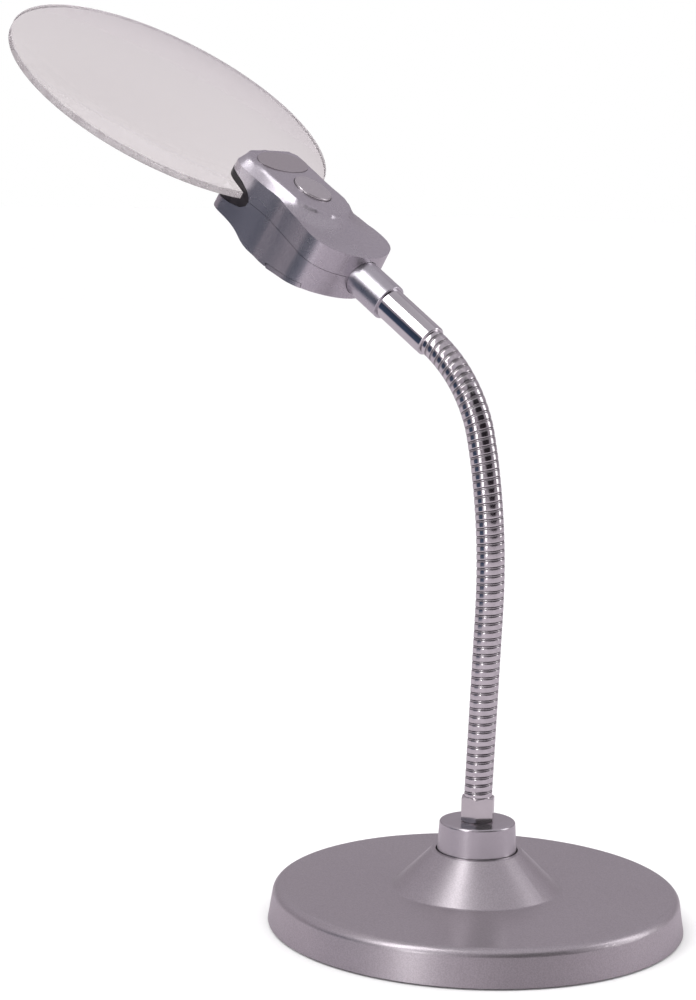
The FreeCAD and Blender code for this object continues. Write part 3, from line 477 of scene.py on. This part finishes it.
def make_silver():
    """Foot, collar and head: the silver paints and plastics."""
    dress(paint("silver_enamel", light=(0.56, 0.52, 0.55), dark=(0.47, 0.435, 0.46),
                metallic=0.95, rough=0.34), "base_cover")
    dress(paint("silver_collar", light=(0.60, 0.57, 0.60), dark=(0.52, 0.49, 0.52),
                metallic=0.95, rough=0.25), "swivel_collar")
    dress(paint("silver_plastic", light=(0.56, 0.53, 0.57), dark=(0.47, 0.44, 0.485),
                metallic=0.93, rough=0.27), "upper_shell", "lower_shell", "battery_door")
    dress(paint("badge_plate", light=(0.50, 0.46, 0.48), dark=(0.42, 0.39, 0.41),
                metallic=0.9, rough=0.32, flake=3200.0), "badge")
    dress(paint("button_plastic", light=(0.56, 0.53, 0.55), dark=(0.49, 0.46, 0.48),
                metallic=0.85, rough=0.24), "push_button")


def make_metals():
    dress(bare("polished_chrome", (0.74, 0.72, 0.74), rough=0.05), "chrome_tube")
    dress(bare("satin_chrome", (0.64, 0.62, 0.66), rough=0.27, smudge=0.06,
               brushed=(3000.0, 3000.0, 60.0), turn=(0.0, HEAD_LEAN, 0.0)), "head_sleeve")
    dress(bare("bright_nickel", (0.72, 0.69, 0.70), rough=0.12), "neck_fitting")
    dress(bare("screw_steel", (0.55, 0.55, 0.56), rough=0.3), "base_screws", "spring_washer",
          "lock_nut", "sleeve_pin", "shell_screws")
    dress(bare("zinc_plate", (0.6, 0.61, 0.62), rough=0.32), "bottom_plate")
    dress(bare("cell_steel", (0.7, 0.7, 0.68), rough=0.2), "coin_cells")
    dress(bare("contact_brass", (0.78, 0.6, 0.3), rough=0.25), "contact_spring",
          "contact_side")
    dress(plain("cast_iron", light=(0.09, 0.09, 0.095), dark=(0.05, 0.05, 0.055), rough=0.6,
                grain=900.0, strength=0.5, metallic=0.6), "ballast_weight")


def make_plastics():
    """Rubber, the jaw's black lining, and the parts inside the head."""
    dress(plain("black_grip", light=(0.018, 0.014, 0.018), dark=(0.008, 0.006, 0.008),
                rough=0.38, grain=2400.0, strength=0.12), "jaw_liner")
    dress(plain("foot_rubber", light=(0.03, 0.03, 0.032), dark=(0.018, 0.018, 0.02),
                rough=0.75, grain=1600.0, strength=0.4), "foot_pad")
    dress(plain("nylon", light=(0.84, 0.82, 0.76), dark=(0.78, 0.76, 0.7), rough=0.45),
          "thrust_washer")
    dress(plain("switch_plastic", light=(0.05, 0.05, 0.05), dark=(0.03, 0.03, 0.03),
                rough=0.45), "switch_body", "switch_plunger")
    dress(plain("board_green", light=(0.02, 0.16, 0.07), dark=(0.015, 0.11, 0.05), rough=0.35,
                grain=900.0, strength=0.2), "circuit_board")
    dress(plain("lamp_resin", light=(0.9, 0.9, 0.86), dark=(0.85, 0.85, 0.8), rough=0.12,
                grain=400.0, strength=0.02), "led_lamps")


# ---------------------------------------------------------------- stage

def make_camera():
    turn, drop = math.radians(VIEW_AZIMUTH), math.radians(VIEW_ELEVATION)
    ahead = Vector((-math.sin(turn) * math.cos(drop), math.cos(turn) * math.cos(drop),
                    -math.sin(drop)))
    level = Vector((math.cos(turn), math.sin(turn), 0.0))
    lift = level.cross(ahead)
    roll = math.radians(VIEW_ROLL)
    right = level * math.cos(roll) - lift * math.sin(roll)
    up = right.cross(ahead)
    data = bpy.data.cameras.new("camera")
    data.lens = CAMERA_LENS
    data.sensor_width = CAMERA_SENSOR
    data.clip_start = 0.02
    data.clip_end = 50.0
    camera = new_object("camera", data)
    camera.matrix_world = Matrix((
        (right.x, up.x, -ahead.x, CAMERA_PLACE[0]),
        (right.y, up.y, -ahead.y, CAMERA_PLACE[1]),
        (right.z, up.z, -ahead.z, CAMERA_PLACE[2]),
        (0, 0, 0, 1)))
    bpy.context.scene.camera = camera


def make_floor():
    """A white floor that the object's surfaces mirror darker, with one dark strip."""
    reach, level = FLOOR_REACH, cad_low.z
    corners = [(-reach, -reach, level), (reach, -reach, level), (reach, reach, level),
               (-reach, reach, level)]
    mesh = bpy.data.meshes.new("floor")
    mesh.from_pydata(corners, [], [(0, 1, 2, 3)])
    floor = new_object("floor", mesh)
    n = Surface("floor_white")
    # a ray bent by the lens counts as glossy too, so it is taken off again
    path = n.add("ShaderNodeLightPath").outputs
    mirrored = n.combine("SUBTRACT", path["Is Glossy Ray"], path["Is Transmission Ray"],
                         clamp=True)
    aside = n.facing(n.measure("NORMALIZE", n.place)["Vector"], STRIP_BEARING)
    far = n.measure("LENGTH", n.place)["Value"]
    strip = n.combine("MULTIPLY", n.ramp(aside, start=STRIP_FADE[0], end=STRIP_FADE[1]),
                      n.ramp(far, start=STRIP_NEAR[0], end=STRIP_NEAR[1]))
    white = n.mix(n.ramp(n.noise(30.0)), *FLOOR_WHITE)
    n.color(n.mix(mirrored, white, n.mix(strip, FLOOR_MIRRORED, STRIP_TONE)))
    n.set(roughness=1.0, specular=0.0)
    mesh.materials.append(n.material)


def mirrored_room(room):
    """The room that polished surfaces mirror: tones by height, with black flags set up in it."""
    direction = room.add("ShaderNodeTexCoord").outputs["Generated"]
    split = room.add("ShaderNodeSeparateXYZ")
    room.put(direction, split.inputs["Vector"])
    walls = room.add("ShaderNodeValToRGB")
    elements = walls.color_ramp.elements
    while len(elements) < len(ROOM_HEIGHTS):
        elements.new(0.5)
    for element, (place, tone) in zip(elements, ROOM_HEIGHTS):
        element.position = place
        element.color = (*tone, 1.0)
    room.put(room.ramp(split.outputs["Z"], start=-1.0, end=1.0), walls.inputs["Fac"])
    seen = walls.outputs["Color"]
    for bearing, half_width, tone in ROOM_FLAGS:
        start, end = (math.cos(math.radians(half_width * fade)) for fade in FLAG_FADE)
        flag = room.ramp(room.facing(direction, bearing), start=start, end=end, smooth=True)
        seen = room.mix(flag, seen, tone)
    return seen


def make_room():
    """White behind the object and through the lens, soft light on matt surfaces, and a dim
    room in polished ones."""
    world = bpy.data.worlds.new("studio")
    bpy.context.scene.world = world
    world.use_nodes = True
    world.node_tree.nodes.clear()
    room = Graph(world.node_tree)

    def backdrop(color, strength):
        node = room.add("ShaderNodeBackground")
        room.put(color, node.inputs["Color"])
        node.inputs["Strength"].default_value = strength
        return node.outputs[0]

    def choose(factor, first, second):
        node = room.add("ShaderNodeMixShader")
        for socket, item in zip(node.inputs, (factor, first, second)):
            room.put(item, socket)
        return node.outputs[0]

    path = room.add("ShaderNodeLightPath").outputs
    straight = room.combine("MAXIMUM", path["Is Camera Ray"], path["Is Transmission Ray"])
    lit = choose(path["Is Glossy Ray"], backdrop(*SOFT_LIGHT),
                 backdrop(mirrored_room(room), MIRRORED_STRENGTH))
    output = room.add("ShaderNodeOutputWorld")
    room.put(choose(straight, lit, backdrop(*BACKDROP)), output.inputs["Surface"])


def area(name, place, size, power):
    """A rectangular lamp aimed at the middle of the object."""
    data = bpy.data.lights.new(name, "AREA")
    data.shape = "RECTANGLE"
    data.size, data.size_y = size
    data.energy = power
    light = new_object(name, data)
    light.location = place
    light.rotation_mode = "QUATERNION"
    aim = Vector((0.0, 0.0, MIDDLE)) - Vector(place)
    light.rotation_quaternion = aim.to_track_quat("-Z", "Y")


def make_lights():
    area("overhead", (0.05, -0.1, 1.2), size=(1.6, 1.6), power=1.2)
    area("key", from_view(-52, 46, 1.1), size=(0.30, 0.95), power=3.2)
    area("panel", from_view(-36, 2, 1.1), size=(0.25, 0.5), power=1.1)
    area("fill", from_view(95, 20, 1.2), size=(0.4, 0.9), power=2.0)


make_silver()
make_metals()
make_plastics()
make_gooseneck(coil_chrome())
make_lens(acrylic(), acrylic_edge())
make_camera()
make_floor()
make_room()
make_lights()
# a plain transfer curve keeps the backdrop pure white
bpy.context.scene.view_settings.view_transform = "Standard"
